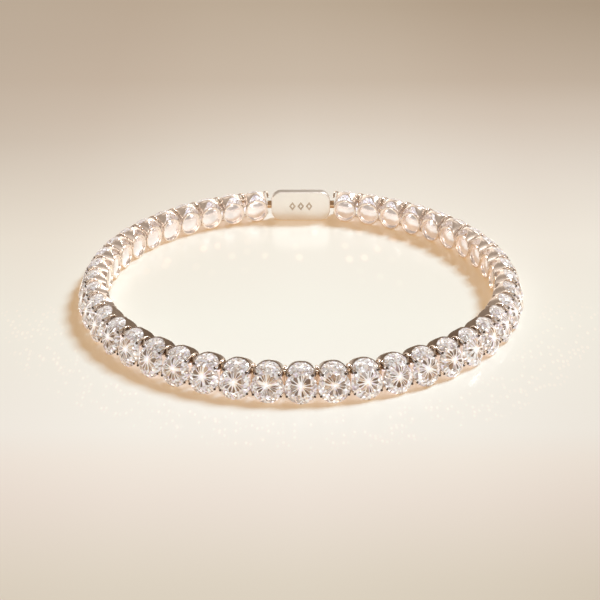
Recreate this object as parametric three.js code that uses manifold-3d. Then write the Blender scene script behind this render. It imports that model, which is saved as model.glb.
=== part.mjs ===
// Diamond bangle: a closed ring of equal round brilliants that ends in a plain clasp plate.
// Each setting carries one large brilliant facing outwards and one smaller brilliant on its
// top shoulder. Millimetres, +Z up. The bangle lies flat on its side, first stone towards -Y and
// clasp plate towards +Y, and it touches the ground at z = 0.
import * as THREE from "three";
import { mergeVertices } from "three/addons/utils/BufferGeometryUtils.js";
import { ConvexGeometry } from "three/addons/geometries/ConvexGeometry.js";
import Module from "manifold-3d";

const wasm = await Module();
wasm.setup();

// The ring
const STONE_D = 4.2;
const STONE_COUNT = 43;
const PITCH_DEG = 7.875;
const GIRDLE_RING_R = 31.3;
const LEAN_DEG = 20;

// The brilliant cut, as shares of the stone's width
const TABLE_R = 0.285;
const STAR_R = 0.389;
const CROWN_TAN = 0.682;
const PAVILION_TAN = 0.862;
const HALF_FACET_R = 0.115;
const MAIN_FACETS = 8;
const HALF_MAIN_DEG = 180 / MAIN_FACETS;

// The accent stone on the shoulder, as shares of the large stone's width
const ACCENT_CREST_IN = 0.5;
const ACCENT_CREST_UP = 0.632;
const ACCENT_LEAN_DEG = 56;
const ACCENT_R = 0.42;
const ACCENT_TABLE_R = 0.21;
const ACCENT_TABLE_DEGS = [10, 62, 118, 170];
const ACCENT_CROWN = 0.126;

// The metal seat behind the accent stone and the gallery ring behind the large one
const RIM = 0.03;
const SLOPE_END_IN = 0.69;
const SLOPE_DEG = 20;
const SLOPE_TAPER = 0.16;
const ARCH_FROM_DEG = 20;
const ARCH_FRONT_POINTS = 7;
const ARCH_BACK_POINTS = 5;
const SEAT_FOOT = { up: 0.31, frontIn: 0.36, frontHalf: 0.26, backIn: 0.74, backHalf: 0.22 };
const GALLERY_FROM = 0.52;
const GALLERY_TO = 0.78;
const GALLERY_OUT_R = 0.42;
const GALLERY_HOLE_R = 0.3;
const GALLERY_DROP = 0.04;
const GALLERY_SIDES = 8;
const GALLERY_PAST_FACES = 0.2;

// The bars between two settings, as shares of the stone's width. Each narrows from its foot to its
// top at its front end and is backHalf wide to either side at its back end, or CLEAR_HALF towards
// the next run.
const UPPER_BAR = {
  front: { inward: 0.05, from: 0.43, to: 0.57, footHalf: 0.11, topHalf: 0.05 },
  back: { inward: 0.42, from: 0.42, to: 0.55 },
  backHalf: 0.18,
};
const LOWER_BAR = {
  front: { inward: -0.18, from: -0.35, to: -0.23, footHalf: 0.09, topHalf: 0.045 },
  back: { inward: 0.62, from: -0.35, to: -0.19 },
  backHalf: 0.17,
};
const CLEAR_HALF = 0.02;

// How many settings are soldered together in each run, in order round the ring
const RUN_SIZES = [4, 4, 4, 4, 4, 3, 4, 4, 4, 4, 4];

// The clasp plate
const PLATE_LENGTH = 9.5;
const PLATE_HEIGHT = 4.9;
const PLATE_FACE_R = 27.9;
const PLATE_BEVEL = 0.3;
const PLATE_WAIST = 1.1;
const PLATE_DEPTH = 2.5;
const PLATE_BACK_LENGTH = 5.4;
const PLATE_CORNER = 0.9;
const LUG_REACH = 0.5;
const LUG_HEIGHT = 1.2;
const LUG_DEPTH = 1.1;

const D = STONE_D;
const rad = THREE.MathUtils.degToRad;
const LEAN = rad(LEAN_DEG);
const STONE_UP = 0.5 * D * Math.cos(LEAN);

const MERGE_WITHIN = 1e-5;

// A closed geometry as a solid for joining and cutting.
function solidOf(geometry) {
  const bare = geometry.clone();
  bare.deleteAttribute("normal");
  bare.deleteAttribute("uv");
  const merged = mergeVertices(bare, MERGE_WITHIN);
  return new wasm.Manifold(
    new wasm.Mesh({
      numProp: 3,
      vertProperties: merged.attributes.position.array,
      triVerts: new Uint32Array(merged.index.array),
    }),
  );
}

function geometryOf(solid) {
  const mesh = solid.getMesh();
  const positions = new Float32Array(mesh.numVert * 3);
  for (let i = 0; i < mesh.numVert; i += 1) {
    positions.set(mesh.vertProperties.subarray(i * mesh.numProp, i * mesh.numProp + 3), i * 3);
  }
  const geometry = new THREE.BufferGeometry();
  geometry.setAttribute("position", new THREE.BufferAttribute(positions, 3));
  geometry.setIndex(new THREE.BufferAttribute(mesh.triVerts, 1));
  geometry.computeVertexNormals();
  return geometry;
}

function hull(points) {
  return solidOf(new ConvexGeometry(points));
}

function join(solids) {
  return solids.reduce((all, solid) => all.add(solid));
}

// A point of the front setting: along the ring, inwards from the girdle and up from the large
// stone's centre, all as shares of the stone's width.
function at(along, inward, up) {
  return new THREE.Vector3(along * D, inward * D - GIRDLE_RING_R, up * D + STONE_UP);
}

// A point of a stone standing at the given place: its own right, its own top and out of its table.
function onStone(centreIn, centreUp, leanAngle, right, top, out) {
  const inward = centreIn + top * Math.sin(leanAngle) - out * Math.cos(leanAngle);
  const up = centreUp + top * Math.cos(leanAngle) + out * Math.sin(leanAngle);
  return at(right, inward, up);
}

// Round brilliant: table, 8 star, 8 kite, 16 upper half, 16 lower half and 8 main facets.
function brilliant() {
  const ring = (count, startDeg, radius, out) =>
    Array.from({ length: count }, (_, i) => {
      const a = rad(startDeg + (i * 360) / count);
      return onStone(0, 0, LEAN, radius * Math.cos(a), radius * Math.sin(a), out);
    });
  const insideEdge = (radius) => 0.5 - radius * Math.cos(rad(HALF_MAIN_DEG));
  return hull([
    ...ring(MAIN_FACETS, 0, TABLE_R, (0.5 - TABLE_R) * CROWN_TAN),
    ...ring(MAIN_FACETS, HALF_MAIN_DEG, STAR_R, insideEdge(STAR_R) * CROWN_TAN),
    ...ring(2 * MAIN_FACETS, 0, 0.5, 0),
    ...ring(MAIN_FACETS, HALF_MAIN_DEG, HALF_FACET_R, -insideEdge(HALF_FACET_R) * PAVILION_TAN),
    onStone(0, 0, LEAN, 0, 0, -0.5 * PAVILION_TAN),
  ]);
}

// The accent stone's crown and the rim round its upper edge. The rim's arch runs inwards and down
// as a polished slope. The stone's foot is cut away behind the large stone's upper edge.
function shoulder() {
  const lean = rad(ACCENT_LEAN_DEG);
  const place = (radius, degrees, out) => {
    const top = radius * Math.sin(rad(degrees)) - ACCENT_R;
    return {
      along: radius * Math.cos(rad(degrees)),
      inward: ACCENT_CREST_IN + top * Math.sin(lean) - out * Math.cos(lean),
      up: ACCENT_CREST_UP + top * Math.cos(lean) + out * Math.sin(lean),
    };
  };
  const arch = (sides) =>
    Array.from({ length: sides }, (_, i) => {
      const step = (180 - 2 * ARCH_FROM_DEG) / (sides - 1);
      return place(ACCENT_R + RIM, ARCH_FROM_DEG + i * step, 0);
    });
  const slopeEnd = ({ along, inward, up }) => {
    const run = SLOPE_END_IN - inward;
    const drop = run * Math.tan(rad(SLOPE_DEG));
    return at(along * (1 - SLOPE_TAPER * run), SLOPE_END_IN, up - drop);
  };
  const table = ACCENT_TABLE_DEGS.map((deg) => place(ACCENT_TABLE_R, deg, ACCENT_CROWN));
  const { up: footUp, frontIn, frontHalf, backIn, backHalf } = SEAT_FOOT;
  return hull([
    ...[...table, ...arch(ARCH_FRONT_POINTS)].map((p) => at(p.along, p.inward, p.up)),
    ...arch(ARCH_BACK_POINTS).map(slopeEnd),
    at(-frontHalf, frontIn, footUp),
    at(frontHalf, frontIn, footUp),
    at(-backHalf, backIn, footUp),
    at(backHalf, backIn, footUp),
  ]);
}

// The open ring behind the large stone that rests against the wrist.
function gallery() {
  const tube = (radius, from, to) =>
    hull(
      [from, to].flatMap((inward) =>
        Array.from({ length: GALLERY_SIDES }, (_, i) => {
          const a = rad(((i + 0.5) * 360) / GALLERY_SIDES);
          return at(radius * Math.cos(a), inward, radius * Math.sin(a) - GALLERY_DROP);
        }),
      ),
    );
  const ring = tube(GALLERY_OUT_R, GALLERY_FROM, GALLERY_TO);
  const from = GALLERY_FROM - GALLERY_PAST_FACES;
  const to = GALLERY_TO + GALLERY_PAST_FACES;
  return ring.subtract(tube(GALLERY_HOLE_R, from, to));
}

// A bar centred between a setting and the one after it, with four corners at each end. before and
// after are how far its back end reaches to either side.
function bar({ front, back }, before, after) {
  const corner = (along, inward, up) => {
    const p = at(along, inward, up);
    return p.applyAxisAngle(new THREE.Vector3(0, 0, 1), rad(PITCH_DEG / 2));
  };
  return hull([
    corner(-front.footHalf, front.inward, front.from),
    corner(front.footHalf, front.inward, front.from),
    corner(-front.topHalf, front.inward, front.to),
    corner(front.topHalf, front.inward, front.to),
    corner(-before, back.inward, back.from),
    corner(after, back.inward, back.from),
    corner(-before, back.inward, back.to),
    corner(after, back.inward, back.to),
  ]);
}

function turned(solid, degrees) {
  return solid.rotate([0, 0, degrees]);
}

const STONE = brilliant();
const SETTING = join([shoulder(), gallery()]);
const bars = (reach) => join([UPPER_BAR, LOWER_BAR].map((shape) => bar(shape, ...reach(shape))));
const JOINED_BARS = bars(({ backHalf }) => [backHalf, backHalf]);
const BARS_AFTER = bars(({ backHalf }) => [backHalf, CLEAR_HALF]);
const BARS_BEFORE = turned(bars(({ backHalf }) => [CLEAR_HALF, backHalf]), -PITCH_DEG);

const stoneMaterial = new THREE.MeshStandardMaterial({
  color: 0xf1eef2,
  roughness: 0.03,
  metalness: 0,
});
const metalMaterial = new THREE.MeshStandardMaterial({
  color: 0xd9b49c,
  roughness: 0.12,
  metalness: 1,
});

const bangle = new THREE.Group();

function addPiece(name, solid, material) {
  const mesh = new THREE.Mesh(geometryOf(solid), material.clone());
  mesh.name = name;
  bangle.add(mesh);
}

function numbered(word, number) {
  return `${word}_${String(number).padStart(2, "0")}`;
}

// Stones run round the ring from one side of the clasp plate to the other.
const angleOf = (index) => (index - (STONE_COUNT - 1) / 2) * PITCH_DEG;
for (let i = 0; i < STONE_COUNT; i += 1) {
  addPiece(numbered("stone", i + 1), turned(STONE, angleOf(i)), stoneMaterial);
}

// Runs of soldered settings; a run's last bars stay clear of the next run.
let first = 0;
RUN_SIZES.forEach((size, run) => {
  const pieces = [];
  for (let i = first; i < first + size; i += 1) {
    pieces.push(turned(SETTING, angleOf(i)));
    const last = i === first + size - 1;
    pieces.push(turned(last ? BARS_AFTER : JOINED_BARS, angleOf(i)));
  }
  if (run === 0) {
    pieces.push(turned(BARS_BEFORE, angleOf(0)));
  }
  addPiece(numbered("setting_run", run + 1), join(pieces), metalMaterial);
  first += size;
});

// The clasp plate: a flat inner face with cut corners, and ends that taper towards its back.
function claspPlate() {
  const loop = (r, length, height) => {
    const x = length / 2;
    const low = (PLATE_HEIGHT - height) / 2;
    const high = PLATE_HEIGHT - low;
    const c = PLATE_CORNER;
    return [
      [x, low + c],
      [x, high - c],
      [x - c, high],
      [c - x, high],
      [-x, high - c],
      [-x, low + c],
      [c - x, low],
      [x - c, low],
    ].map(([px, pz]) => new THREE.Vector3(px, r, pz));
  };
  const inset = 2 * PLATE_BEVEL;
  const body = hull([
    ...loop(PLATE_FACE_R, PLATE_LENGTH - inset, PLATE_HEIGHT - inset),
    ...loop(PLATE_FACE_R + PLATE_BEVEL, PLATE_LENGTH, PLATE_HEIGHT),
    ...loop(PLATE_FACE_R + PLATE_WAIST, PLATE_LENGTH, PLATE_HEIGHT),
    ...loop(PLATE_FACE_R + PLATE_DEPTH, PLATE_BACK_LENGTH, PLATE_HEIGHT),
  ]);
  const lugs = new THREE.BoxGeometry(PLATE_LENGTH + 2 * LUG_REACH, LUG_DEPTH, LUG_HEIGHT);
  lugs.translate(0, PLATE_FACE_R + PLATE_BEVEL + LUG_DEPTH / 2, PLATE_HEIGHT / 2);
  return body.add(solidOf(lugs));
}
addPiece("clasp_plate", claspPlate(), metalMaterial);

// The middle of the bangle's own box stands over the origin.
bangle.updateMatrixWorld(true);
const box = new THREE.Box3().setFromObject(bangle);
const middle = box.getCenter(new THREE.Vector3());
bangle.position.set(-middle.x, -middle.y, -box.min.z);

export default bangle;
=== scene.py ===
"""Diamond bangle lying on its side, dressed in stones, claws and polished warm gold.

Every new piece is a surface worked out as whole arrays for one setting, then carried round the
ring to all of them. Shares such as 0.5 are shares of the large stone's width.
"""

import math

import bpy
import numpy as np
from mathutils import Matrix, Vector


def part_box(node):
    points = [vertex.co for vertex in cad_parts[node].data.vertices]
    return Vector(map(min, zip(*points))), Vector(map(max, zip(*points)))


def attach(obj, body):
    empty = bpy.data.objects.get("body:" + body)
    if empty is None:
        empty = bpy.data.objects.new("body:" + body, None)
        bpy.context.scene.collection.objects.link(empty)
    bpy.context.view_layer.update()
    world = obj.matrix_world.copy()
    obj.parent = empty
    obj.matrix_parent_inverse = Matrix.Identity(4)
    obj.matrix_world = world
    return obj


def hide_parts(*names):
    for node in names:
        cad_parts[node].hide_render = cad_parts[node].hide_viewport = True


bl_info = {
    "name": "Diamond bangle",
    "version": (1, 0, 0),
    "blender": (4, 5, 0),
    "location": "View3D > Sidebar > Bangle",
    "description": "Builds the stones, settings and clasp plate of a diamond bangle",
    "category": "Object",
}

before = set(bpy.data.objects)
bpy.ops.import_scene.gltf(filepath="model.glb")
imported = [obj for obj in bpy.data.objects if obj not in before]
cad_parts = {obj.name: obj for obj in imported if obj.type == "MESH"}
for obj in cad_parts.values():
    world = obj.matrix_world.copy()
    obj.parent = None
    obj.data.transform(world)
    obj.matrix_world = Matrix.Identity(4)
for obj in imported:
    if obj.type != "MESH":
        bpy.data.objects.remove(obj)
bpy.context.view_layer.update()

STONE_NODES = sorted(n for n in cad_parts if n.startswith("stone_"))
RUN_NODES = sorted(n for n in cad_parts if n.startswith("setting_run_"))
STONE_COUNT = len(STONE_NODES)
MIDDLE_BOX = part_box(STONE_NODES[STONE_COUNT // 2])
PLATE_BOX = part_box("clasp_plate")
MM = 0.001
FULL_TURN = 2 * math.pi
SMOOTH_UNDER = math.radians(50)


# ---- sizes and colours


def length_property(name, description, default):
    return bpy.props.FloatProperty(
        name=name, description=description, default=default, unit="LENGTH"
    )


def angle_property(name, description, degrees):
    return bpy.props.FloatProperty(
        name=name, description=description, default=math.radians(degrees),
        subtype="ANGLE", unit="ROTATION",
    )


def colour_property(name, description, default):
    return bpy.props.FloatVectorProperty(
        name=name, description=description, default=default,
        size=3, min=0, max=1, subtype="COLOR",
    )


class BangleSizes(bpy.types.PropertyGroup):
    """Sizes of the ring and of one setting."""

    stone_width: length_property("Stone width", "Width of a large stone", 0.0042)
    ring_radius: length_property(
        "Ring radius", "From the ring's middle to a large stone's girdle", 0.0313
    )
    pitch: angle_property("Pitch", "Angle from one stone to the next", 7.875)
    lean: angle_property("Lean", "How far the large stones lean back", 20)


class BangleFinish(bpy.types.PropertyGroup):
    """Colours of the finishes."""

    gold: colour_property("Gold", "Colour of the polished gold", (0.91, 0.80, 0.70))
    warm_gold: colour_property("Warm gold", "Colour of the posts and lugs", (0.72, 0.51, 0.34))
    claw_gold: colour_property("Claw gold", "Colour of the claws", (0.82, 0.71, 0.62))
    pale_gold: colour_property("Pale gold", "Colour of the gallery cups", (0.93, 0.88, 0.88))
    # The claw tips' dark gold is painted shade
    tip_gold: colour_property("Tip gold", "Colour of the shaded claw tips", (0.15, 0.115, 0.095))
    # The seats' gold in two tones: painted light towards the back, painted shade at the front
    lit_gold: colour_property("Lit gold", "Colour of the brighter gold seats", (0.66, 0.57, 0.50))
    seat_gold: colour_property(
        "Seat gold", "Colour of the shaded gold seats", (0.46, 0.375, 0.315)
    )
    plate_gold: colour_property(
        "Plate gold", "Colour of the satin clasp plate", (0.93, 0.90, 0.86)
    )
    # The marks' dark gold is painted shade in the sunk marks
    mark: colour_property("Mark", "Colour of the darkened marks", (0.70, 0.60, 0.50))
    floor: colour_property("Floor", "Colour of the floor", (0.80, 0.82, 0.78))


class BangleStudio(bpy.types.PropertyGroup):
    """Camera and lights."""

    camera_distance: length_property(
        "Camera distance", "From the camera to the ring's middle", 0.2252
    )
    camera_elevation: angle_property(
        "Camera elevation", "Height of the camera above the horizon", 26.06
    )
    camera_lens: bpy.props.FloatProperty(
        name="Lens", description="Focal length on a 36 mm sensor, in millimetres", default=92.1,
    )


# ---- places on the ring


def sizes():
    return bpy.context.scene.bangle_sizes


def finish():
    return bpy.context.scene.bangle_finish


def ring_middle_y():
    """The ring's middle: the middle stone's foremost point plus the radius and the crown."""
    s = sizes()
    crown = (0.5 - TABLE_R) * CROWN_TAN
    proud = TABLE_R * math.sin(s.lean) + crown * math.cos(s.lean)
    return MIDDLE_BOX[0][1] + s.ring_radius + proud * s.stone_width


def setting_points(local):
    """Points of one setting, given as (along, in, up) shares, in metres at the front of the ring.

    x is along the ring, y is the girdle's radius taken inwards and z counts up from the large
    stone's middle, whose lower edge stands on the ground.
    """
    s = sizes()
    p = np.asarray(local, float) * s.stone_width
    up = 0.5 * s.stone_width * math.cos(s.lean)
    return np.stack([p[..., 0], p[..., 1] - s.ring_radius, p[..., 2] + up], -1)


def setting_angles():
    """The angle of every setting, counted from the middle one at the front."""
    return (np.arange(STONE_COUNT) - (STONE_COUNT - 1) / 2) * sizes().pitch


def carried(local, faces, angles):
    """A shape of the front setting, in shares, copied to every angle about the ring's middle:
    x' = x cos a - y sin a, y' = x sin a + y cos a. The faces are repeated for every copy, their
    numbers moved on by one copy's points each time."""
    points = setting_points(local)
    c, n = np.cos(angles)[:, None], np.sin(angles)[:, None]
    x, y, z = points[:, 0][None], points[:, 1][None], points[:, 2][None]
    z = np.broadcast_to(z, (len(angles), len(points)))
    made = np.stack([x * c - y * n, x * n + y * c, z], -1)
    made[..., 1] += ring_middle_y()
    moved = [[v + k * len(points) for v in f] for k in range(len(angles)) for f in faces]
    return made.reshape(-1, 3), moved


# ---- meshes


def mesh_of(name, points, faces):
    mesh = bpy.data.meshes.new(name)
    mesh.from_pydata(np.asarray(points, float).tolist(), [], [list(map(int, f)) for f in faces])
    return mesh


def make_piece(name, points, faces, material, slot, nodes, smooth=True, attributes=None):
    """A finished piece: its mesh in place, its body and the nodes it stands for. The slot is not
    used.
    """
    mesh = mesh_of(name, points, faces)
    mesh.validate()
    mesh.polygons.foreach_set("use_smooth", np.full(len(mesh.polygons), smooth))
    for key, values in (attributes or {}).items():
        layer = mesh.attributes.new(key, "FLOAT", "FACE")
        layer.data.foreach_set("value", np.asarray(values, np.float32))
    if smooth:
        mesh.set_sharp_from_angle(angle=SMOOTH_UNDER)
    mesh.update()
    piece = bpy.data.objects.new(name, mesh)
    bpy.context.scene.collection.objects.link(piece)
    mesh.materials.append(material)
    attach(piece, "root")
    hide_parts(*nodes)
    return piece


def setting_piece(name, gold, points, faces, **attributes):
    make_piece(
        name, points, faces, gold_material(gold), "setting", RUN_NODES, attributes=attributes
    )


def grid_faces(rows, columns, closed_rows=False):
    """Four-sided faces of a grid whose columns close on themselves, numbered row by row."""
    r = np.arange(rows if closed_rows else rows - 1)[:, None]
    c = np.arange(columns)[None, :]
    r2, c2 = (r + 1) % rows, (c + 1) % columns
    corners = [r * columns + c, r * columns + c2, r2 * columns + c2, r2 * columns + c]
    return np.stack(corners, -1).reshape(-1, 4)


def capped_grid(points):
    """A closed tube or shell from a grid (rows, columns, 3): its first and last rows get a cap
    each, a fan about the row's mean point."""
    rows, columns, _ = points.shape
    flat = points.reshape(-1, 3)
    first, last = points[0].mean(0), points[-1].mean(0)
    c = np.arange(columns)
    n = rows * columns
    start = np.stack([np.full(columns, n), (c + 1) % columns, c], -1)
    base = (rows - 1) * columns
    end = np.stack([np.full(columns, n + 1), base + c, base + (c + 1) % columns], -1)
    faces = [*grid_faces(rows, columns).tolist(), *start.tolist(), *end.tolist()]
    return np.vstack([flat, first, last]), faces


def tube(path, radius, sides, up=(0.0, 0.0, 1.0)):
    """A round bar along a path: each point carries a circle of its own radius, set square to the
    path's direction there. p = path + r (cos t side - sin t top)."""
    path = np.asarray(path, float)
    ahead = np.gradient(path, axis=0)
    ahead /= np.linalg.norm(ahead, axis=1, keepdims=True)
    side = np.cross(ahead, np.asarray(up, float))
    side /= np.linalg.norm(side, axis=1, keepdims=True)
    top = np.cross(side, ahead)
    t = np.linspace(0, FULL_TURN, sides, endpoint=False)[None, :, None]
    r = np.broadcast_to(np.asarray(radius, float), (len(path),))[:, None, None]
    grid = path[:, None] + r * (np.cos(t) * side[:, None] - np.sin(t) * top[:, None])
    return capped_grid(grid)


def turned(profile, sides):
    """A closed solid of revolution: each (radius, out) of the profile becomes a ring of points."""
    a = np.linspace(0, FULL_TURN, sides, endpoint=False)
    p = np.asarray(profile, float)
    grid = np.stack([p[:, :1] * np.cos(a), -p[:, :1] * np.sin(a), p[:, 1:] + 0 * a], -1)
    return capped_grid(grid)


def smooth_path(corners, count):
    """A smooth curve through corner points: cubic pieces whose slopes are the mean of the two
    neighbouring sides."""
    p = np.asarray(corners, float)
    m = np.gradient(p, axis=0)
    t = np.linspace(0, len(p) - 1, count)
    i = np.minimum(t.astype(int), len(p) - 2)
    f = (t - i)[:, None]
    a, b, c, d = 2 * f**3 - 3 * f**2 + 1, f**3 - 2 * f**2 + f, 3 * f**2 - 2 * f**3, f**3 - f**2
    return a * p[i] + b * m[i] + c * p[i + 1] + d * m[i + 1]


def joined(parts):
    """Several (points, faces) pairs as one."""
    points, faces, start = [], [], 0
    for p, f in parts:
        points.append(p)
        faces += [[v + start for v in face] for face in f]
        start += len(p)
    return np.vstack(points), faces


def cut_away(solid, cutter):
    """The solid less the cutter, both given as points and faces."""
    made = []
    for points, faces in (solid, cutter):
        blank = bpy.data.objects.new("blank", mesh_of("blank", points, faces))
        bpy.context.scene.collection.objects.link(blank)
        made.append(blank)
    step = made[0].modifiers.new("cut", "BOOLEAN")
    step.operation, step.object, step.solver = "DIFFERENCE", made[1], "EXACT"
    result = made[0].evaluated_get(bpy.context.evaluated_depsgraph_get()).to_mesh()
    points = np.empty(len(result.vertices) * 3)
    result.vertices.foreach_get("co", points)
    faces = [list(f.vertices) for f in result.polygons]
    made[0].to_mesh_clear()
    for blank in made:
        mesh = blank.data
        bpy.data.objects.remove(blank)
        bpy.data.meshes.remove(mesh)
    return points.reshape(-1, 3), faces


# ---- the stones

# A brilliant of unit width: radii of its table, of the points round it and of the points round
# its foot, slopes of crown and pavilion, and the height of its girdle
TABLE_R = 0.285
STAR_R = 0.389
HALF_FACET_R = 0.115
CROWN_TAN = 0.682
PAVILION_TAN = 0.862
GIRDLE_BAND = 0.018
EIGHTH = 45.0
# How much wider a visible stone is than its node
SNUG = 1.018
# The small stone: its dome's height, the radii of the dome's rings and its pavilion's slope
ACCENT_CROWN = 0.17
ACCENT_RINGS = (0.17, 0.29, 0.405)
ACCENT_PAVILION = 0.8
# Its radius, how far it leans back, and its highest point as (in, up)
ACCENT_R = 0.42
ACCENT_LEAN = math.radians(56)
ACCENT_CREST = (0.50, 0.632)
# The room that a large stone takes from a small one: (radius, out) of its upper rim, of its
# girdle and of its foot
STONE_ROOM = ((0.52, 0.5), (0.52, -0.02), (0.02, -0.02 - 0.5 * PAVILION_TAN))
STONE_SEED = 7


def ring(count, start, r, out):
    """Points at equal angles on a circle about the stone's own axis, as (right, top, out)."""
    a = math.radians(start) + np.arange(count) * 2 * math.pi / count
    return np.stack([r * np.cos(a), r * np.sin(a), np.full(count, out)], -1)


def facets(*corners):
    """Facets from whole arrays of their corners' numbers."""
    return np.stack(np.broadcast_arrays(*corners), -1).tolist()


def below_the_girdle(high, pavilion):
    """Girdle band and pavilion of a stone of unit width: its points and faces, with the girdle's
    sixteen upper points numbered from high. The main facets are planes whose depth is
    (0.5 - r cos 22.5 deg) times the slope."""
    band = GIRDLE_BAND / 2
    low, half, culet = high + 16, high + 32, high + 40
    flat = math.cos(math.radians(EIGHTH / 2))
    points = np.vstack([
        ring(16, 0, 0.5, band),
        ring(16, 0, 0.5, -band),
        ring(8, EIGHTH / 2, HALF_FACET_R, -(0.5 - HALF_FACET_R * flat) * pavilion - band),
        [[0, 0, -0.5 * pavilion - band]],
    ])
    g, k = np.arange(16), np.arange(8)
    after, before = (k + 1) % 8, (k - 1) % 8
    faces = facets(high + g, low + g, low + (g + 1) % 16, high + (g + 1) % 16)
    faces += facets(low + 2 * k, half + k, low + 2 * k + 1)
    faces += facets(low + 2 * k + 1, half + k, low + 2 * after)
    faces += facets(low + 2 * k, half + before, culet, half + k)
    return points, faces


def cut_stone():
    """A round brilliant of unit width: (right, top, out) points and faces. Table and star points
    lie on planes whose height is (0.5 - r cos 22.5 deg) times the crown's slope."""
    band = GIRDLE_BAND / 2
    star_up = (0.5 - STAR_R * math.cos(math.radians(EIGHTH / 2))) * CROWN_TAN + band
    table, star, high = 0, 8, 16
    under, faces = below_the_girdle(high, PAVILION_TAN)
    points = np.vstack([
        ring(8, 0, TABLE_R, (0.5 - TABLE_R) * CROWN_TAN + band),
        ring(8, EIGHTH / 2, STAR_R, star_up),
        under,
    ])
    k = np.arange(8)
    after, before = (k + 1) % 8, (k - 1) % 8
    faces.append(list(range(8)))
    faces += facets(table + k, star + k, table + after)
    faces += facets(table + k, star + before, high + 2 * k, star + k)
    faces += facets(star + k, high + 2 * k, high + 2 * k + 1)
    faces += facets(star + k, high + 2 * k + 1, high + 2 * after)
    return points, faces


def cut_accent():
    """A small round stone of unit width whose crown is a low dome of many small facets: rings of
    sixteen points, every other ring turned by half a facet, height = crown (1 - 4 r^2)."""
    band = GIRDLE_BAND / 2
    n, count = 16, len(ACCENT_RINGS)
    rings = [
        ring(n, EIGHTH / 4 * ((count - i) % 2), r, ACCENT_CROWN * (1 - 4 * r * r) + band)
        for i, r in enumerate(ACCENT_RINGS)
    ]
    under, faces = below_the_girdle(n * count, ACCENT_PAVILION)
    k = np.arange(n)
    after = (k + 1) % n
    faces.append(list(range(n)))
    for i in range(count):
        inner, outer = n * i + k, n * (i + 1) + k
        inner_after, outer_after = n * i + after, n * (i + 1) + after
        if (count - i) % 2:
            faces += facets(inner, outer, outer_after)
            faces += facets(inner, outer_after, inner_after)
        else:
            faces += facets(inner, outer, inner_after)
            faces += facets(outer, outer_after, inner_after)
    return np.vstack([*rings, under]), faces


def stand_stone(points, up):
    """Points about a large stone's axis (right, top, out) as (along, in, up) shares: the stone
    leans back, and its middle stands up higher than the setting's."""
    r, t, o = points.T
    n, c = math.sin(sizes().lean), math.cos(sizes().lean)
    return np.stack([r, t * n - o * c, up + t * c + o * n], -1)


def on_accent(right, top, out):
    """A place on an accent stone as (along, in, up) shares. Its girdle plane leans back so far that
    the plane's highest point, the crest, stands behind the large stone's upper edge."""
    n, c = math.sin(ACCENT_LEAN), math.cos(ACCENT_LEAN)
    from_crest = np.asarray(top, float) - ACCENT_R
    return np.stack(np.broadcast_arrays(
        np.asarray(right, float),
        ACCENT_CREST[0] + from_crest * n - np.asarray(out, float) * c,
        ACCENT_CREST[1] + from_crest * c + np.asarray(out, float) * n,
    ), -1)


def place_on_accent(local):
    """The way back: (right, top, out) of (along, in, up) shares."""
    n, c = math.sin(ACCENT_LEAN), math.cos(ACCENT_LEAN)
    t, u = local[:, 1] - ACCENT_CREST[0], local[:, 2] - ACCENT_CREST[1]
    return np.stack([local[:, 0], t * n + u * c + ACCENT_R, u * n - t * c], -1)


def stones_round_the_ring(name, local, place, faces, material, nodes):
    """One stone's faces at every setting. Each face carries its stone's own number, and each
    point its place on the stone as shares of the stone's radius."""
    rng = np.random.default_rng(STONE_SEED)
    spread = np.repeat(rng.random(STONE_COUNT), len(faces))
    piece = make_piece(
        name, *carried(local, faces, setting_angles()), material, "stone", nodes,
        smooth=False, attributes={"stone_number": spread},
    )
    layer = piece.data.attributes.new("on_stone", "FLOAT_VECTOR", "POINT")
    layer.data.foreach_set("vector", np.tile(place, (STONE_COUNT, 1)).astype(np.float32).ravel())


# ---- nodes of the finishes


def feed(tree, sockets, values):
    """Give each socket its value, or a link where the value is another node's socket."""
    for key, value in values.items():
        if isinstance(value, bpy.types.NodeSocket):
            tree.links.new(value, sockets[key])
        else:
            sockets[key].default_value = value


def add(tree, kind, values=None, **settings):
    """A new node of a kind, with its settings, and the values or links of its inputs."""
    node = tree.nodes.new("ShaderNode" + kind)
    for key, value in settings.items():
        setattr(node, key, value)
    feed(tree, node.inputs, values or {})
    return node


def new_material(name):
    """A material, its nodes and its shader's inputs."""
    m = bpy.data.materials.new(name)
    m.use_nodes = True
    tree = m.node_tree
    return m, tree, next(n for n in tree.nodes if n.type == "BSDF_PRINCIPLED").inputs


def figure(tree, operation, *values):
    """The result of a Math node, its inputs set or linked."""
    return add(tree, "Math", dict(enumerate(values)), operation=operation).outputs[0]


def ways(tree):
    """Short ways to numbers: f is any figure, times a product; a step rises softly from 0 at start
    to 1 at end; a line is gain times the value plus base; the rest is 1 less the value; and apart
    is the length whose two sides are given."""

    def f(operation, *values):
        return figure(tree, operation, *values)

    def times(a, b):
        return f("MULTIPLY", a, b)

    def step(value, start, end):
        return add(
            tree, "MapRange", {"Value": value, "From Min": start, "From Max": end},
            interpolation_type="SMOOTHSTEP",
        ).outputs["Result"]

    def line(value, gain, base):
        return f("ADD", times(value, gain), base)

    def rest(value):
        return f("SUBTRACT", 1.0, value)

    def apart(a, b):
        return f("SQRT", f("ADD", times(a, a), times(b, b)))

    return f, times, step, line, rest, apart


def ramp(tree, value, stops):
    """A colour ramp over the value, given as (position, colour) stops."""
    node = add(tree, "ValToRGB", {"Fac": value})
    elements = node.color_ramp.elements
    elements[0].position, elements[0].color = stops[0][0], (*stops[0][1], 1)
    elements[1].position, elements[1].color = stops[-1][0], (*stops[-1][1], 1)
    for position, colour in stops[1:-1]:
        elements.new(position).color = (*colour, 1)
    return node.outputs["Color"]


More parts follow.
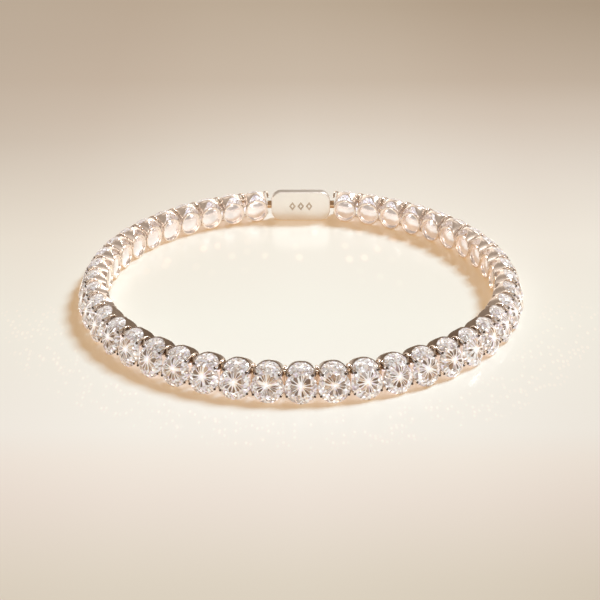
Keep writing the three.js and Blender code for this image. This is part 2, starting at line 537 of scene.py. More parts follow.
def blended(tree, a, b, kind="MULTIPLY"):
    """One colour times another, or added to it; the second may be a plain colour."""
    node = add(tree, "Mix", {0: 1.0, 6: a, 7: b}, data_type="RGBA", blend_type=kind)
    return node.outputs[2]


def chance(tree, a, b):
    """A repeatable random number from two numbers."""
    both = add(tree, "CombineXYZ", {0: a, 1: b}).outputs[0]
    return add(tree, "TexWhiteNoise", {"Vector": both}, noise_dimensions="2D").outputs["Value"]


def cells(tree, where, scale):
    """Angular cells: the distance from each one's middle, and its random colour's channels."""
    node = add(tree, "TexVoronoi", {"Vector": where, "Scale": scale}, voronoi_dimensions="2D")
    split = add(tree, "SeparateColor", {0: node.outputs["Color"]})
    return node.outputs["Distance"], split.outputs


# ---- the finishes

WHITE = (1.0, 1.0, 1.0)

# Each gold: its colour, its smoothest and roughest polish, its painted sheen, how uneven its tone
# is, and the colour of its lit faces, a painted light, where it has them
GOLDS = {
    "polished_gold": ("gold", 0.1, 0.2, 0.08, 0.16, None),
    "pale_gold": ("pale_gold", 0.12, 0.22, 0.2, 0.16, None),
    # The seats: painted shade, and on their lit faces painted light with a painted sheen
    "shaded_gold": ("seat_gold", 0.18, 0.34, 0.2, 0.16, "lit_gold"),
    "warm_gold": ("warm_gold", 0.12, 0.25, 0.0, 0.16, None),
    "claw_gold": ("claw_gold", 0.05, 0.12, 0.0, 0.16, None),
    # The claw tips' dark gold is painted shade
    "tip_gold": ("tip_gold", 0.05, 0.12, 0.0, 0.16, None),
    "satin_gold": ("plate_gold", 0.28, 0.42, 0.08, 0.03, None),
    # The sunk marks' dark gold is painted shade
    "darkened_gold": ("mark", 0.4, 0.6, 0.0, 0.16, None),
}
CLOUDS_A_METRE = 600
STREAKS_A_METRE = 900
STREAK_STRETCH = (1, 1, 7)
STREAK_DEPTH = 0.00005
STREAK_STRENGTH = 0.14

# Each stone's painted light: how many rays it has, the radius of the bright middle and the length
# of the spokes as shares of the stone's radius, how far the rays' middle lies above the stone's,
# how much of the colour is lit from outside, and the strength of the painted glow that stands for
# light from inside
DIAMONDS = {
    "diamond": (15, 0.11, 0.66, 0.12, 0.6, 0.5),
    "accent_diamond": (11, 0.02, 0.25, 0.15, 0.36, 0.38),
}
# What the stones' numbers are multiplied by, so that each stone draws chances of its own
NUMBER_SPREAD = 91.0
# A ray's half width: the least, what its chance adds and what the stone's middle adds
RAY_WIDTH, RAY_CHANCE, RAY_FLARE = 0.012, 0.03, 0.036
FLARE_ENDS = (0.05, 0.4)
HEART_GAIN = 4.5
SPOKE_LAYERS = 2.6
STRANDS = 3.0
SMALL_FACETS = 9.5
ZIGZAG = 0.14
# The painted reflections' tones from dark to white, and their painted tints
STONE_TONES = (
    (0.0, (0.13, 0.09, 0.07)), (0.25, (0.34, 0.27, 0.225)), (0.5, (0.62, 0.55, 0.52)),
    (0.78, (0.90, 0.87, 0.88)), (1.0, WHITE),
)
STONE_HUES = (
    (0.0, (1.0, 0.84, 0.68)), (0.3, (1.0, 0.96, 0.90)), (0.55, (0.96, 1.0, 0.97)),
    (0.8, (0.95, 0.96, 1.0)), (1.0, (0.97, 0.88, 1.0)),
)
# The painted warm fan, the painted cool underside, and how much of the underside's colour is lit
WARM_FAN = (1.0, 0.86, 0.70)
COOL_UNDER = (0.93, 0.94, 1.0)
UNDER_SHARE = (0.1, 0.13, 0.17)

# Where on the way back, from 0.1 m in front to 0.3 m behind, and the floor's tone there: a
# painted falloff of light, palest where the ring lies
FLOOR_FRONT, FLOOR_A_METRE = 0.1, 2.5
FLOOR_LIGHT_FALLOFF = (
    (0.0, (0.60, 0.53, 0.47)), (0.078, (0.789, 0.716, 0.657)), (0.116, (0.907, 0.822, 0.804)),
    (0.1375, (0.959, 0.891, 0.878)), (0.155, (0.981, 0.950, 0.957)), (0.23, (1.0, 0.985, 0.97)),
    (0.30, (0.99, 0.946, 0.922)), (0.389, (0.864, 0.799, 0.774)), (0.443, (0.744, 0.657, 0.611)),
    (0.5045, (0.627, 0.53, 0.468)), (0.649, (0.515, 0.423, 0.352)), (1.0, (0.432, 0.36, 0.30)),
)
# How far to either side, from the middle to 0.1 m, and the floor's painted shade there
FLOOR_SHADE_ASIDE = (
    (0.0, WHITE), (0.2, (0.985, 0.98, 0.975)), (0.4, (0.935, 0.915, 0.905)),
    (0.65, (0.91, 0.90, 0.895)), (1.0, (0.86, 0.84, 0.83)),
)
# Place on the way back, how much painted light makes the right paler than the left, and how much
# painted shade darkens both
FLOOR_SIDE_LIGHT = (
    (0.0, -0.05, 0.015), (0.078, -0.045, 0.015), (0.116, -0.03, 0.02), (0.155, -0.02, 0.01),
    (0.23, 0.0, 0.0), (0.301, 0.03, 0.02), (0.36, 0.045, 0.045), (0.389, 0.045, 0.065),
    (0.415, 0.045, 0.065), (0.46, 0.025, 0.035), (0.5045, -0.02, 0.02), (0.58, -0.065, 0.025),
    (0.649, -0.12, 0.01),
)
# What the painted side light is multiplied by to fill a ramp, and its power in red, green and blue
SIDES_SCALE = 3
SIDES_POWERS = (1.0, 1.2, 1.5)
# The floor's painted glow, which keeps its shadows warm
FLOOR_GLOW = (0.365, 0.19, 0.05)
# Painted spots of light: cells a metre, spot size in cells, how few cells hold one, from and to
# what radius, strength
FLOOR_SPOTS = (
    (400, 0.3, 0.5, 0.008, 0.0265, 0.17),
    (1500, 0.36, 0.45, 0.034, 0.044, 0.16),
)
SPOT_LIGHT = (1.0, 0.5, 0.34)
SPOT_STRETCH = 0.45


def gold_material(name):
    """Polished gold: fine drawn streaks along the metal and a slow change of polish and tone. Its
    sheen
    is painted: a glow in its own tone that stands for the pale light a satin surface gathers from
    all round. Where it has a lit colour, faces whose attribute "lit" is 1 take that colour, a
    painted light, and only they have the painted sheen."""
    if name in bpy.data.materials:
        return bpy.data.materials[name]
    colour, smooth, rough, sheen, mottle, lit_colour = GOLDS[name]
    m, tree, shader = new_material(name)
    where = add(tree, "TexCoord").outputs["Object"]
    cloud = add(tree, "TexNoise", {"Vector": where, "Scale": CLOUDS_A_METRE, "Detail": 3})
    cloud = cloud.outputs["Fac"]
    base = np.array(getattr(finish(), colour)[:])
    brightest = np.minimum(base * (1 + mottle / 2), 1)
    tone = ramp(tree, cloud, ((0.3, base * (1 - mottle)), (0.7, brightest)))
    if lit_colour:
        paler = np.array(getattr(finish(), lit_colour)[:])
        lit = add(tree, "Attribute", attribute_name="lit").outputs["Fac"]
        both = ramp(tree, lit, ((0.0, base / paler), (1.0, WHITE)))
        tone = blended(tree, blended(tree, tone, (*(paler / base), 1)), both)
        sheen = figure(tree, "MULTIPLY", lit, sheen)
    polish = add(tree, "MapRange", {"Value": cloud, "To Min": smooth, "To Max": rough})
    stretch = add(tree, "Mapping", {"Vector": where, "Scale": STREAK_STRETCH}).outputs["Vector"]
    streak = add(tree, "TexNoise", {"Vector": stretch, "Scale": STREAKS_A_METRE}).outputs["Fac"]
    bump = add(tree, "Bump", {
        "Height": streak, "Strength": STREAK_STRENGTH, "Distance": STREAK_DEPTH,
    })
    # The emission is the painted sheen
    feed(tree, shader, {
        "Metallic": 1.0, "Base Color": tone, "Emission Color": tone, "Emission Strength": sheen,
        "Roughness": polish.outputs["Result"], "Normal": bump.outputs["Normal"],
    })
    return m


def diamond_material(name):
    """A brilliant's play of light, painted into its colour: rays of painted reflection that meet
    over its point, dark and bright spokes between them out to a zigzag, and small bright facets
    from there to the edge. Every stone is turned and tinted a little differently. A painted glow
    stands for the light that comes back from inside the stone."""
    spokes, core, reach, rise, body_share, painted_inner_glow = DIAMONDS[name]
    m, tree, shader = new_material(name)
    f, times, step, line, rest, apart = ways(tree)
    place = add(tree, "Attribute", attribute_name="on_stone").outputs["Vector"]
    right, top, out = add(tree, "SeparateXYZ", {0: place}).outputs
    number = add(tree, "Attribute", attribute_name="stone_number").outputs["Fac"]
    far = times(number, NUMBER_SPREAD)

    # The way round the stone, in spokes: a ray at each whole number, where edge is 1
    above = f("SUBTRACT", top, rise)
    radius = apart(right, above)
    turn = f("DIVIDE", f("ARCTAN2", above, right), FULL_TURN)
    slow = f("SINE", line(turn, 3 * FULL_TURN, far))
    quick = f("SINE", line(turn, 5 * FULL_TURN, times(far, 1.7)))
    along = line(f("ADD", turn, 1.0), spokes, number)
    along = f("ADD", along, line(slow, 0.3, times(quick, 0.2)))
    edge = times(f("ABSOLUTE", f("SUBTRACT", f("FRACT", along), 0.5)), 2.0)

    # The painted rays of reflected light, which flare where they meet
    strength = chance(tree, f("FLOOR", f("ADD", along, 0.5)), f("ADD", far, 5.0))
    near = rest(step(radius, *FLARE_ENDS))
    width = line(strength, RAY_CHANCE, line(near, RAY_FLARE, RAY_WIDTH))
    to_ray = times(times(rest(edge), radius), math.pi / spokes)
    ray = rest(step(f("DIVIDE", to_ray, width), 0.6, 1.6))
    ray = times(ray, line(strength, 0.35, 0.65))
    middle = rest(step(radius, core * 0.4, core))
    middle = f("MAXIMUM", middle, times(times(near, ray), core * HEART_GAIN))

    # The painted light and shade of the spokes between them, in layers and strands
    layer = f("FLOOR", line(radius, SPOKE_LAYERS, edge))
    spoke = f("POWER", chance(tree, f("FLOOR", along), f("ADD", far, layer)), 1.3)
    strand = f("FLOOR", times(along, STRANDS))
    strand = chance(tree, strand, f("ADD", far, f("ADD", layer, 3.0)))
    spoke = times(line(spoke, 0.6, 0.05), line(strand, 0.8, 0.6))

    # Small facets of painted reflection outside the spokes' zigzag, painted glints, a painted
    # darker rim
    shift = add(tree, "VectorMath", {0: place, 1: far}, operation="ADD").outputs["Vector"]
    fine, hue, _ = cells(tree, shift, SMALL_FACETS)[1]
    outer = step(line(edge, ZIGZAG, radius), reach, reach + 0.04)
    inner = rest(outer)
    mix = times(f("MAXIMUM", spoke, ray), inner)
    mix = f("ADD", mix, times(line(fine, 0.72, 0.3), outer))
    mix = times(mix, rest(times(step(apart(right, top), 0.93, 1.0), 0.3)))
    glint = times(step(times(fine, outer), 0.93, 0.95), 0.6)

    # Its colours: a painted warm fan of light on one side, and a painted cool underside that glows
    colour = ramp(tree, f("MAXIMUM", mix, middle), STONE_TONES)
    hue = ramp(tree, f("MAXIMUM", hue, times(middle, 0.6)), STONE_HUES)
    between_rays = rest(times(f("MAXIMUM", ray, middle), 0.85))
    facing = step(f("SINE", line(turn, FULL_TURN, far)), -0.3, 0.8)
    fan = times(times(inner, between_rays), facing)
    warm = ramp(tree, fan, ((0.0, WHITE), (1.0, WARM_FAN)))
    tinted = blended(tree, blended(tree, colour, hue), warm)
    under = step(times(out, -1.0), 0.05, 0.2)
    cool = ramp(tree, under, ((0.0, WHITE), (1.0, COOL_UNDER)))
    lit_share = ramp(tree, under, ((0.0, (body_share,) * 3), (1.0, UNDER_SHARE)))
    # The emission is painted light: glints, the glowing underside, the bright middle, the inner
    # glow
    light = f("ADD", glint, times(under, 0.7))
    feed(tree, shader, {
        "Base Color": blended(tree, tinted, lit_share), "Roughness": 0.03, "IOR": 1.6,
        "Emission Color": blended(tree, tinted, cool),
        "Emission Strength": f("ADD", light, line(middle, 0.55, painted_inner_glow)),
    })
    return m


def floor_material():
    """Pale satin floor with a painted glow of its own, which keeps shadows on it warm, and a
    painted
    falloff of light: cream where the ring lies, darker to the sides and taupe far behind, with a
    faint mottle. Small soft painted spots of light, standing for light that the stones throw, lie
    on it inside the ring and in front of it."""
    m, tree, shader = new_material("pale_floor")
    f, times, step, _, rest, apart = ways(tree)
    where = add(tree, "TexCoord").outputs["Object"]
    x, y, _ = add(tree, "SeparateXYZ", {0: where}).outputs
    base = np.array(finish().floor[:])
    depth = times(f("ADD", y, FLOOR_FRONT), FLOOR_A_METRE)
    back = ramp(tree, depth, tuple((at, base * tone) for at, tone in FLOOR_LIGHT_FALLOFF))
    aside = ramp(tree, times(f("ABSOLUTE", x), 10.0), FLOOR_SHADE_ASIDE)

    # -1 and 1 are the ends of the view, which widens on the way back
    across = f("DIVIDE", x, f("MULTIPLY_ADD", depth, 0.054, 0.032))
    across = f("MAXIMUM", f("MINIMUM", across, 1.3), -1.3)
    # Painted light and shade across the floor, set at each depth
    painted_side_light = tuple(
        (at, (0.5 + SIDES_SCALE * tilt, SIDES_SCALE * dark, 0)) for at, tilt, dark in FLOOR_SIDE_LIGHT
    )
    sides = add(tree, "SeparateColor", {0: ramp(tree, depth, painted_side_light)}).outputs
    tilt = f("DIVIDE", f("SUBTRACT", sides[0], 0.5), SIDES_SCALE)
    dark = f("DIVIDE", sides[1], -SIDES_SCALE)
    shade = f("MULTIPLY_ADD", f("ABSOLUTE", across), dark, 1.0)
    shade = f("MULTIPLY_ADD", across, tilt, shade)
    powers = {i: f("POWER", shade, power) for i, power in enumerate(SIDES_POWERS)}
    shading = add(tree, "CombineXYZ", powers).outputs[0]
    cloud = add(tree, "TexNoise", {"Vector": where, "Scale": 12}).outputs["Fac"]
    mottle = ramp(tree, cloud, ((0.3, (0.985,) * 3), (0.7, WHITE)))
    colour = blended(tree, blended(tree, blended(tree, back, aside), mottle), shading)

    # Painted spots of light, inside the ring and in front of it
    from_middle = f("SUBTRACT", y, ring_middle_y())
    radius = apart(x, from_middle)
    stretch = add(tree, "Mapping", {"Vector": where, "Scale": (1, SPOT_STRETCH, 1)})
    spots = []
    for scale, size, chosen, start, end, strength in FLOOR_SPOTS:
        distance, draws = cells(tree, stretch.outputs["Vector"], scale)
        spot = times(rest(step(distance, size * 0.4, size)), step(draws[0], chosen, 1.0))
        band = times(step(radius, start, start + 0.002), rest(step(radius, end - 0.002, end)))
        side = 1.0 if end < sizes().ring_radius else -1.0
        band = times(band, step(times(from_middle, side), 0.0, 0.012))
        spots.append(times(times(spot, band), strength))
    light = ramp(tree, f("ADD", *spots), ((0.0, (0.0, 0.0, 0.0)), (1.0, SPOT_LIGHT)))
    # The painted glow, with the painted spots of light added to it
    glow = blended(tree, blended(tree, colour, (*FLOOR_GLOW, 1)), light, "ADD")
    feed(tree, shader, {
        "Base Color": colour, "Emission Color": glow, "Emission Strength": 1.0,
        "Roughness": 0.2, "Specular IOR Level": 0.25,
    })
    return m


# ---- operators


class BANGLE_OT_large_stones(bpy.types.Operator):
    """Build the large brilliants that face outwards"""

    bl_idname = "bangle.large_stones"
    bl_label = "Large stones"

    def execute(self, context):
        points, faces = cut_stone()
        local = stand_stone(points * SNUG, 0.5 * (SNUG - 1) * math.cos(sizes().lean))
        stones_round_the_ring(
            "large_stones", local, points * 2, faces, diamond_material("diamond"), STONE_NODES
        )
        return {"FINISHED"}


class BANGLE_OT_accent_stones(bpy.types.Operator):
    """Build the small round brilliants on the shoulders of the settings"""

    bl_idname = "bangle.accent_stones"
    bl_label = "Accent stones"

    def execute(self, context):
        points, faces = cut_accent()
        room, room_faces = turned(STONE_ROOM, 64)
        stone = on_accent(*(points * (2 * ACCENT_R)).T), faces
        local, faces = cut_away(stone, (stand_stone(room, 0), room_faces))
        stones_round_the_ring(
            "accent_stones", local, place_on_accent(local) / ACCENT_R, faces,
            diamond_material("accent_diamond"), RUN_NODES,
        )
        return {"FINISHED"}


# How far the gallery's middle lies under the large stone's
GALLERY_DROP = 0.03
# Distance round and across the gallery ring's section, and how square the section is
GALLERY_ROUND, GALLERY_ACROSS = 32, 12
GALLERY_SQUARE = 0.4
CUP_R = 0.42


def gallery_ring():
    """The open ring behind a large stone: a rounded square section carried round a circle.
    radius = 0.41 + 0.028 c, in = 0.7 + 0.07 s, with c and s a softened cosine and sine."""
    a = np.linspace(0, FULL_TURN, GALLERY_ROUND, endpoint=False)[:, None]
    t = np.linspace(0, FULL_TURN, GALLERY_ACROSS, endpoint=False)[None, :]

    def soft(v):
        return np.sign(v) * np.abs(v) ** GALLERY_SQUARE

    radius = 0.41 + 0.028 * soft(np.cos(t))
    inward = 0.7 + 0.07 * soft(np.sin(t)) + 0 * a
    grid = np.stack([radius * np.cos(a), inward, radius * np.sin(a) - GALLERY_DROP], -1)
    faces = grid_faces(GALLERY_ROUND, GALLERY_ACROSS, closed_rows=True)
    return grid.reshape(-1, 3), faces.tolist()


def gallery_cup():
    """The low polished dome that closes a gallery ring: in = 0.66 + 0.1 (1 - (r / 0.42)^2), with a
    flat back."""
    r = np.linspace(CUP_R, 0.01, 9)
    dome = np.stack([r, 0.66 + 0.1 * (1 - (r / CUP_R) ** 2)], -1)
    points, faces = turned([(0.01, 0.6), (0.40, 0.62), *dome], 32)
    return points[:, [0, 2, 1]] - [0, 0, GALLERY_DROP], faces


class BANGLE_OT_gallery_rings(bpy.types.Operator):
    """Build the open rings that rest against the wrist"""

    bl_idname = "bangle.gallery_rings"
    bl_label = "Gallery rings"

    def execute(self, context):
        made = carried(*gallery_ring(), setting_angles())
        setting_piece("gallery_rings", "polished_gold", *made)
        return {"FINISHED"}


class BANGLE_OT_gallery_cups(bpy.types.Operator):
    """Build the low domes that close the gallery rings"""

    bl_idname = "bangle.gallery_cups"
    bl_label = "Gallery cups"

    def execute(self, context):
        setting_piece("gallery_cups", "pale_gold", *carried(*gallery_cup(), setting_angles()))
        return {"FINISHED"}


# Round the seat's wall: radius, height out of the stone's girdle plane, and share of the way to
# the inner end
SEAT_WALL = (
    (0.418, -0.012, 0.0), (0.421, 0.012, 0.0), (0.434, 0.022, 0.0), (0.449, 0.012, 0.0),
    (0.455, -0.012, 0.0), (0.455, 0.0, 0.1), (0.455, 0.0, 0.5), (0.455, 0.0, 0.9),
    (0.452, 0.0, 0.97), (0.44, 0.0, 1.0), (0.425, 0.0, 0.97), (0.42, 0.0, 0.85),
    (0.42, 0.0, 0.4),
)
SEAT_SLOPE = math.tan(math.radians(20))
SEAT_TAPER = 0.16
# The seats within this angle of the front are a piece of their own
FRONT_REACH = math.radians(65)
# Where the seats' gold starts to turn from painted shade to painted light, and over how many
# degrees
LIT_START, LIT_OVER = 48, 34


def shoulder_seat():
    """The polished collar behind an accent stone: an arch that starts as a thin rim round the
    stone's edge and runs inwards and down at 20 degrees to an open end near the wrist, a little
    shorter at its top: in = 0.8 - 0.2 sin^6. Each row is one angle of the arch, each column one
    step round the collar's wall: out along its outside and back along its inside."""
    a = np.radians(np.linspace(-12, 192, 49))[None, :]
    wall = np.array(SEAT_WALL)[:, :, None]
    grid = on_accent(wall[:, 0] * np.cos(a), wall[:, 0] * np.sin(a), wall[:, 1] + 0 * a)
    inner_end = 0.8 - 0.2 * np.sin(a) ** 6
    reach = (inner_end - grid[..., 1]) * wall[:, 2]
    grid[..., 0] *= 1 - SEAT_TAPER * reach
    grid[..., 1] += reach
    grid[..., 2] -= reach * SEAT_SLOPE
    return capped_grid(np.transpose(grid, (1, 0, 2)))


class BANGLE_OT_shoulder_seats(bpy.types.Operator):
    """Build the polished seats behind the accent stones"""

    bl_idname = "bangle.shoulder_seats"
    bl_label = "Shoulder seats"

    def execute(self, context):
        local, faces = shoulder_seat()
        angle = setting_angles()
        ahead = np.abs(angle) < FRONT_REACH
        # How much painted light each seat's gold takes, by its angle round the ring
        lit = np.clip((np.degrees(np.abs(angle)) - LIT_START) / LIT_OVER, 0, 1)
        for name, part in (("front_seats", ahead), ("back_seats", ~ahead)):
            made = carried(local, faces, angle[part])
            setting_piece(name, "shaded_gold", *made, lit=np.repeat(lit[part], len(faces)))
        return {"FINISHED"}


# Each claw's way from behind the ring to the stone's edge, and the radius of its tip
CLAWS = (
    (((0.485, 0.54, 0.42), (0.492, 0.42, 0.54), (0.477, 0.29, 0.56), (0.425, 0.18, 0.50),
      (0.352, 0.07, 0.40)), 0.047),
    (((0.45, 0.60, -0.20), (0.492, 0.30, -0.16), (0.499, 0.02, -0.13), (0.476, -0.075, -0.165),
      (0.430, -0.130, -0.225)), 0.04),
)
CLAW_STEPS = 13
CLAW_THINNING = ((0, 4, 8, 12), (0.04, 0.036, 0.031, 0.026))
# Each bar's place as (in, up), its reach to either side and its radius
LINK_BARS = ((0.65, -0.22, 0.16, 0.055), (0.66, 0.2, 0.16, 0.055), (0.5, 0.40, 0.13, 0.05))
BAR_BOW = 0.1
# A post's place, its lower end, middle and upper end, and its radius from end to end
POST_INWARD = 0.32
POST_UP = (-0.04, 0.18, 0.4)
POST_R = 0.085
POST_SWELL = (0.55, 0.9, 1, 0.94, 0.9, 0.94, 1, 0.9, 0.55)


def half_step(inward):
    """Half the way to the next setting, which narrows inwards: 0.512 (1 - in / 7.45)."""
    return 0.512 * (1 - inward / 7.45)


def claw_arm(side, way, _):
    """One claw's arm: a wire from behind the ring of stones to a stone's edge."""
    path = smooth_path(way, CLAW_STEPS) * (side, 1, 1)
    return tube(path, np.interp(np.arange(CLAW_STEPS), *CLAW_THINNING), 8)


def claw_tip(side, way, r):
    """The round bead that ends a claw: a ball whose middle is the arm's last point."""
    t = np.linspace(0, math.pi, 7)
    ball, faces = turned(np.stack([r * np.sin(t) + 0.001, r * np.cos(t)], -1), 10)
    return ball + np.array(way[-1]) * (side, 1, 1), faces


def link_bars():
    """Short bars that join a ring to the next one, high and low, and a seat to the next seat."""
    parts = []
    for inward, up, reach, r in LINK_BARS:
        middle = half_step(inward)
        x = np.linspace(middle - reach, middle + reach, 5)
        path = [x, np.full(5, inward) + (x - middle) ** 2 * BAR_BOW, np.full(5, up)]
        parts.append(tube(np.stack(path, -1), r, 8))
    return joined(parts)


def between_settings(local, faces):
    """A shape given at the front setting's right-hand side, carried to every gap between two."""
    return carried(local, faces, setting_angles()[:-1])


class BANGLE_OT_link_posts(bpy.types.Operator):
    """Build the round posts that link each setting to the next"""

    bl_idname = "bangle.link_posts"
    bl_label = "Link posts"

    def execute(self, context):
        across = half_step(POST_INWARD)
        path = smooth_path([(across, POST_INWARD, up) for up in POST_UP], len(POST_SWELL))
        post = tube(path, POST_R * np.array(POST_SWELL), 12, up=(0, 1, 0))
        setting_piece("link_posts", "warm_gold", *between_settings(*post))
        return {"FINISHED"}


class BANGLE_OT_claws(bpy.types.Operator):
    """Build the claws and the bars between the settings"""

    bl_idname = "bangle.claws"
    bl_label = "Claws"

    def execute(self, context):
        arms, tips = (
            joined([part(side, *claw) for side in (-1, 1) for claw in CLAWS])
            for part in (claw_arm, claw_tip)
        )
        arms = carried(*arms, setting_angles())
        bars = between_settings(*link_bars())
        setting_piece("claws", "claw_gold", *joined([arms, bars]))
        # The tips' dark gold is painted shade between the stones
        setting_piece("claw_tips", "tip_gold", *carried(*tips, setting_angles()))
        return {"FINISHED"}


PLATE_LENGTH = 9.5 * MM
PLATE_CORNER = 1.6 * MM
# The plate's rounded edge and side, in mm: how much longer and higher it is, and how far back
PLATE_EDGE = (
    (-0.9, 0), (-0.32, 0), (-0.18, 0.01), (-0.08, 0.05), (-0.02, 0.11), (0, 0.2), (0, 1.1),
)
# Its back, where it narrows: shares of its length and height, and how far back in mm
PLATE_NARROWING = ((0.97, 0.99, 1.2), (0.8, 0.86, 1.7), (0.62, 0.72, 2.3))
# Its last two outlines: the same shares, and how far short of the back they are in mm
PLATE_BACK = ((0.56, 0.68, 0.08), (0.4, 0.5, 0))
LUG_ENDS = (4.4, 5.4)
LUG_R = 0.62 * MM
LUG_BACK = 0.85 * MM
MARK_DEPTH = 0.16 * MM
MARK_PLACES = (-1.35, 0, 1.35)
MARK_HALF_WIDTH, MARK_HALF_HEIGHT = 0.55, 0.75
MARK_LINE = 0.3


def plate_middle():
    return (PLATE_BOX[0][2] + PLATE_BOX[1][2]) / 2


def plate_outline(length, height, y, columns=48):
    """A rounded rectangle about the plate's middle: corner arcs about the middles of its four
    corner circles."""
    t = (np.arange(columns) + 0.5) / columns * 2 * math.pi
    r = min(PLATE_CORNER, height * 0.42)
    x = (length / 2 - r) * np.sign(np.cos(t)) + r * np.cos(t)
    z = (height / 2 - r) * np.sign(np.sin(t)) + r * np.sin(t)
    return np.stack([x, np.full(columns, y), plate_middle() + z], -1)


def lozenge_frame(across, near, far):
    """A square frame stood on its corner, from near to far along y: its outer and inner corners
    at both depths, carried round the four corners."""
    w, h = MARK_HALF_WIDTH, MARK_HALF_HEIGHT
    corner = np.array([(w, 0), (0, h), (-w, 0), (0, -h)]) * MM
    inner = 1 - 2 * MARK_LINE
    x, z = corner.T[:, :, None] * [1, 1, inner, inner]
    y = np.broadcast_to([near, far, far, near], (4, 4))
    points = np.stack([across + x, y, plate_middle() + z], -1)
    return points.reshape(-1, 3), grid_faces(4, 4, closed_rows=True).tolist()


def plate_marks(near, far):
    """Three plain lozenges in a row."""
    return joined([lozenge_frame(x * MM, near, far) for x in MARK_PLACES])


class BANGLE_OT_clasp_plate(bpy.types.Operator):
    """Build the clasp plate with its rounded edges, its plain sunk marks and its lugs"""

    bl_idname = "bangle.clasp_plate"
    bl_label = "Clasp plate"

    def execute(self, context):
        low, high = (np.array(v) for v in PLATE_BOX)
        face_y, back_y = low[1], high[1]
        height = high[2] - low[2]
        rows = [
            plate_outline(PLATE_LENGTH + grow * MM, height + grow * MM, face_y + into * MM)
            for grow, into in PLATE_EDGE
        ]
        rows += [
            plate_outline(PLATE_LENGTH * share, height * tall, face_y + into * MM)
            for share, tall, into in PLATE_NARROWING
        ]
        rows += [
            plate_outline(PLATE_LENGTH * share, height * tall, back_y - short * MM)
            for share, tall, short in PLATE_BACK
        ]
        body = capped_grid(np.array(rows)[:, ::-1])
        body = cut_away(body, plate_marks(face_y - 0.2 * MM, face_y + MARK_DEPTH))
        lugs = []
        for side in (-1, 1):
            path = np.linspace(*([side * x, 0, 0] for x in LUG_ENDS), 4) * MM
            lugs.append(tube(path + [0, face_y + LUG_BACK, plate_middle()], LUG_R, 16))
        # Thin sheets of dark gold inside the sunk marks: painted shade
        marks = plate_marks(face_y + 0.7 * MARK_DEPTH, face_y + 1.05 * MARK_DEPTH)
        plate = ["clasp_plate"]
        make_piece("clasp_plate_body", *body, gold_material("satin_gold"), "clasp", plate)
        make_piece("clasp_lugs", *joined(lugs), gold_material("warm_gold"), "clasp", plate)
        make_piece(
            "clasp_marks", *marks, gold_material("darkened_gold"), "clasp", plate, smooth=False
        )
        return {"FINISHED"}


FLOOR_HALF = 1.2
SKY_COLOUR = (1.0, 0.80, 0.62, 1)
SKY_STRENGTH = 0.36
COOL_WHITE = (0.97, 0.98, 1.0)
GLINTS = (
    ("left", (-0.9, -0.15, 0.17)), ("middle", (0.0, -0.9, 0.17)), ("right", (0.9, -0.15, 0.17)),
)
# Each lamp: name, place, size, watts, colour, and the objects that it lights or leaves out
LAMPS = (
    ("floor_key", (1.56, 1.3, 2.2), (0.78, 0.78), 104.7, (0.56, 0.812, 1.0), "INCLUDE",
     ("floor",)),
    ("key", (0.31, 0.26, 0.44), (0.08, 0.08), 3.0, (0.96, 0.98, 1.0), "EXCLUDE",
     ("floor", "front_seats")),
    ("back", (-0.05, 0.26, 0.55), (0.3, 0.2), 1.1, COOL_WHITE, "EXCLUDE",
     ("floor", "front_seats", "back_seats", "clasp_plate_body", "clasp_lugs")),
    ("veil", (0.0, 0.6, 0.42), (1.5, 0.8), 3.6, (1.0, 0.95, 0.89), "EXCLUDE",
     ("floor", "front_seats", "clasp_plate_body", "clasp_lugs")),
    ("inner", (0.0, -0.9, 0.75), (1.6, 1.0), 2.6, (1.0, 0.97, 0.95), "INCLUDE",
     ("back_seats", "gallery_rings", "gallery_cups", "clasp_plate_body")),
    ("horizon", (0.0, 1.0, 0.15), (2.5, 0.35), 3.0, (1.0, 0.96, 0.94), "INCLUDE",
     ("back_seats",)),
    ("front", (0.16, -0.5, 0.3), (0.5, 0.2), 0.86, COOL_WHITE, "EXCLUDE",
     ("floor", "clasp_lugs")),
    *(
        ("glint_" + side, place, (0.2, 0.2), 0.4, COOL_WHITE, "INCLUDE", ("gallery_cups",))
        for side, place in GLINTS
    ),
)
# What the camera looks at: how far from the ring's middle and from the ground
CAMERA_ASIDE, CAMERA_ABOVE = -0.00012, -0.00081


def placed(name, data, place, ahead):
    """An object in its place, its own Z axis towards ahead."""
    o = bpy.data.objects.new(name, data)
    o.location = place
    o.rotation_mode = "QUATERNION"
    o.rotation_quaternion = ahead.to_track_quat("Z", "Y")
    bpy.context.scene.collection.objects.link(o)
    return o


def add_lamp(name, place, size, power, colour, link_state, lit_names):
    """A rectangular lamp that faces the origin and lights only some of the objects."""
    data = bpy.data.lights.new(name, "AREA")
    data.shape = "RECTANGLE"
    data.size, data.size_y = size
    data.energy = power
    data.color = colour
    lit = bpy.data.collections.new(name)
    for lit_name in lit_names:
        lit.objects.link(bpy.data.objects[lit_name])
    for entry in lit.collection_objects:
        entry.light_linking.link_state = link_state
    lamp = placed(name, data, place, Vector(place))
    lamp.light_linking.receiver_collection = lit


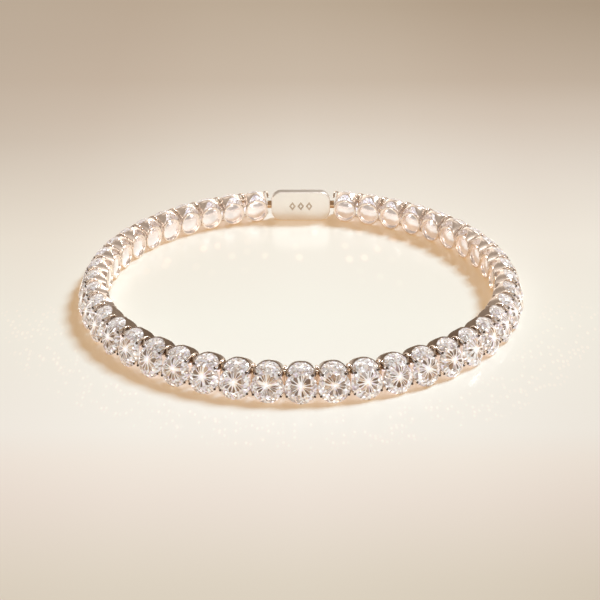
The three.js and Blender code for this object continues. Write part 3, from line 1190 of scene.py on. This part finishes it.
class BANGLE_OT_stage(bpy.types.Operator):
    """Set the floor, the lights and the camera"""

    bl_idname = "bangle.stage"
    bl_label = "Stage"

    def execute(self, context):
        scene = context.scene
        studio = scene.bangle_studio
        w = FLOOR_HALF
        mesh = mesh_of("floor", [(-w, -w, 0), (w, -w, 0), (w, w, 0), (-w, w, 0)], [(0, 1, 2, 3)])
        floor = bpy.data.objects.new("floor", mesh)
        scene.collection.objects.link(floor)
        mesh.materials.append(floor_material())

        world = bpy.data.worlds.new("studio")
        scene.world = world
        world.use_nodes = True
        background = next(n for n in world.node_tree.nodes if n.type == "BACKGROUND")
        background.inputs["Color"].default_value = SKY_COLOUR
        background.inputs["Strength"].default_value = SKY_STRENGTH
        for lamp in LAMPS:
            add_lamp(*lamp)

        camera = bpy.data.cameras.new("camera")
        camera.lens = studio.camera_lens
        camera.sensor_width = 36
        camera.clip_start, camera.clip_end = 0.01, 10
        e = studio.camera_elevation
        back = Vector((0, -math.cos(e), math.sin(e)))
        target = Vector((CAMERA_ASIDE, ring_middle_y(), CAMERA_ABOVE))
        scene.camera = placed("camera", camera, target + back * studio.camera_distance, back)
        scene.view_settings.view_transform = "Standard"
        return {"FINISHED"}


OPERATORS = (
    BANGLE_OT_large_stones,
    BANGLE_OT_accent_stones,
    BANGLE_OT_gallery_rings,
    BANGLE_OT_gallery_cups,
    BANGLE_OT_shoulder_seats,
    BANGLE_OT_link_posts,
    BANGLE_OT_claws,
    BANGLE_OT_clasp_plate,
    BANGLE_OT_stage,
)


class BANGLE_PT_panel(bpy.types.Panel):
    """Bangle pieces"""

    bl_label = "Diamond bangle"
    bl_idname = "BANGLE_PT_panel"
    bl_space_type = "VIEW_3D"
    bl_region_type = "UI"
    bl_category = "Bangle"

    def draw(self, context):
        scene = context.scene
        for group in (scene.bangle_sizes, scene.bangle_finish, scene.bangle_studio):
            box = self.layout.box()
            for key in group.bl_rna.properties.keys():
                if key not in ("rna_type", "name"):
                    box.prop(group, key)
        for operator in OPERATORS:
            self.layout.operator(operator.bl_idname)


CLASSES = (BangleSizes, BangleFinish, BangleStudio, *OPERATORS, BANGLE_PT_panel)


def register():
    for c in CLASSES:
        bpy.utils.register_class(c)
    bpy.types.Scene.bangle_sizes = bpy.props.PointerProperty(type=BangleSizes)
    bpy.types.Scene.bangle_finish = bpy.props.PointerProperty(type=BangleFinish)
    bpy.types.Scene.bangle_studio = bpy.props.PointerProperty(type=BangleStudio)


def unregister():
    del bpy.types.Scene.bangle_sizes, bpy.types.Scene.bangle_finish, bpy.types.Scene.bangle_studio
    for c in reversed(CLASSES):
        bpy.utils.unregister_class(c)


def main():
    register()
    for operator in OPERATORS:
        getattr(bpy.ops.bangle, operator.bl_idname.split(".")[1])()


if __name__ == "__main__":
    main()
